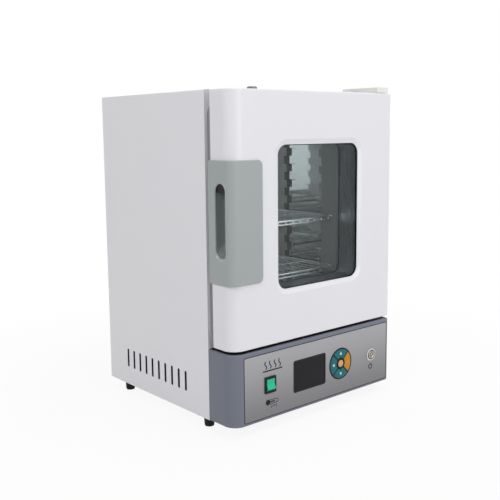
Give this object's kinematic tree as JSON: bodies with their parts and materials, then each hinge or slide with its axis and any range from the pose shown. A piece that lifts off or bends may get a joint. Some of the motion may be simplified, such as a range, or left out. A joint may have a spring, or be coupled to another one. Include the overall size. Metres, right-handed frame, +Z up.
{
  "type": "laboratory drying oven",
  "caption": "Benchtop drying oven: insulated steel cabinet, side-hinged door with dished window and edge-wrapping handle, wire shelves, control housing below.",
  "frame": {"origin": "on the floor, midway between the cabinet's sides and midway between the door's front and the cabinet's back", "axes": "+X to the right seen from the front, +Y to the back, +Z up"},
  "size_m": [0.423, 0.4241, 0.631],
  "materials": {
    "painted_white": "satin powder coat",
    "zinc_plated": "zinc plated",
    "screw_steel": "plated fastener",
    "stainless": "brushed stainless",
    "door_inner_stainless": "brushed stainless",
    "shelf_wire": "electropolished wire",
    "heater_sheath": "heat-darkened sheath",
    "glass_wool": "fibrous",
    "foot_rubber": "matte",
    "gasket_silicone": "matte silicone",
    "black_seal": "satin rubber",
    "pane_glass": "clear",
    "handle_plastic": "fine moulded texture",
    "housing_plastic": "satin moulded",
    "overlay_silver": "fine metallic",
    "display_black": "dark acrylic",
    "black_plastic": "moulded",
    "key_teal": "satin key",
    "key_orange": "satin key",
    "key_copper": "satin key",
    "rocker_green": "lit translucent",
    "button_steel": "turned stainless",
    "board_green": "circuit board",
    "module_grey": "moulded",
    "relay_black": "black anodised",
    "supply_cover": "folded sheet",
    "cutout_body": "moulded",
    "cap_metal": "dark satin metal",
    "bush_nylon": "nylon"
  },
  "bodies": {
    "cabinet": {"outer_casing": "painted_white", "front_frame": "painted_white", "base_plate": "zinc_plated", "rear_cover": "painted_white", "rear_cover_screws": "screw_steel", "bay_divider": "zinc_plated", "feet": "foot_rubber", "foot_fasteners": "screw_steel", "chamber_liner": "stainless", "insulation_left": "glass_wool", "insulation_right": "glass_wool", "insulation_top": "glass_wool", "insulation_bottom": "glass_wool", "insulation_rear": "glass_wool", "shelf_strips_left": "stainless", "shelf_strips_right": "stainless", "floor_plate": "stainless", "heater_element": "heater_sheath", "heater_bars": "stainless", "temperature_probe": "stainless", "thermal_cutout": "cutout_body", "vent_tube": "stainless", "control_housing": "housing_plastic", "control_housing_screws": "screw_steel", "overlay_trim": "black_seal", "control_overlay": "overlay_silver", "display_lens": "display_black", "display_module": "module_grey", "control_board": "board_green", "keypad_base": "black_plastic", "rocker_body": "black_plastic", "power_button_body": "button_steel", "power_button_nut": "screw_steel", "solid_state_relay": "relay_black", "power_supply": "supply_cover", "mains_inlet": "black_plastic", "hinge_brackets": "zinc_plated", "hinge_pins": "screw_steel", "hinge_cover": "painted_white", "hinge_screws": "screw_steel"},
    "door": {"door_skin": "painted_white", "door_liner": "door_inner_stainless", "door_insulation": "glass_wool", "window_seal": "black_seal", "window_outer_glass": "pane_glass", "window_reveal": "door_inner_stainless", "window_inner_glass": "pane_glass", "door_gasket": "gasket_silicone", "door_handle": "handle_plastic", "hinge_bushes": "bush_nylon"},
    "upper_shelf": {"shelf_upper": "shelf_wire"},
    "lower_shelf": {"shelf_lower": "shelf_wire"},
    "vent_damper": {"vent_cap": "cap_metal"},
    "rocker": {"rocker_cap": "rocker_green"},
    "power_button": {"power_button_cap": "button_steel"},
    "up_key": {"key_up": "key_teal"},
    "down_key": {"key_down": "key_teal"},
    "left_key": {"key_left": "key_teal"},
    "right_key": {"key_right": "key_orange"},
    "centre_key": {"key_centre": "key_copper"}
  },
  "joints": [
    {"name": "door_hinge", "type": "hinge", "parent": "cabinet", "child": "door", "pos_m": [0.195, -0.18775, 0.159], "axis": [0, 0, 1], "range_deg": [0, 110]},
    {"name": "upper_shelf_slide", "type": "slide", "parent": "cabinet", "child": "upper_shelf", "axis": [0, -1, 0], "range_m": [0, 0.025]},
    {"name": "lower_shelf_slide", "type": "slide", "parent": "cabinet", "child": "lower_shelf", "axis": [0, -1, 0], "range_m": [0, 0.025]},
    {"name": "vent_turn", "type": "hinge", "parent": "cabinet", "child": "vent_damper", "pos_m": [0, -0.02225, 0.615], "axis": [0, 0, 1], "range_deg": [0, 90]},
    {"name": "rocker_tip", "type": "hinge", "parent": "cabinet", "child": "rocker", "pos_m": [-0.1235, -0.20295, 0.0855], "axis": [1, 0, 0], "range_deg": [0, 20]},
    {"name": "power_button_press", "type": "slide", "parent": "cabinet", "child": "power_button", "axis": [0, 1, 0], "range_m": [0, 0.002], "stiffness_N_per_m": 600, "springref_m": -0.001},
    {"name": "up_key_press", "type": "slide", "parent": "cabinet", "child": "up_key", "axis": [0, 1, 0], "range_m": [0, 0.0008], "stiffness_N_per_m": 400, "springref_m": -0.0005},
    {"name": "down_key_press", "type": "slide", "parent": "cabinet", "child": "down_key", "axis": [0, 1, 0], "range_m": [0, 0.0008], "stiffness_N_per_m": 400, "springref_m": -0.0005},
    {"name": "left_key_press", "type": "slide", "parent": "cabinet", "child": "left_key", "axis": [0, 1, 0], "range_m": [0, 0.0008], "stiffness_N_per_m": 400, "springref_m": -0.0005},
    {"name": "right_key_press", "type": "slide", "parent": "cabinet", "child": "right_key", "axis": [0, 1, 0], "range_m": [0, 0.0008], "stiffness_N_per_m": 400, "springref_m": -0.0005},
    {"name": "centre_key_press", "type": "slide", "parent": "cabinet", "child": "centre_key", "axis": [0, 1, 0], "range_m": [0, 0.0008], "stiffness_N_per_m": 400, "springref_m": -0.0005}
  ]
}
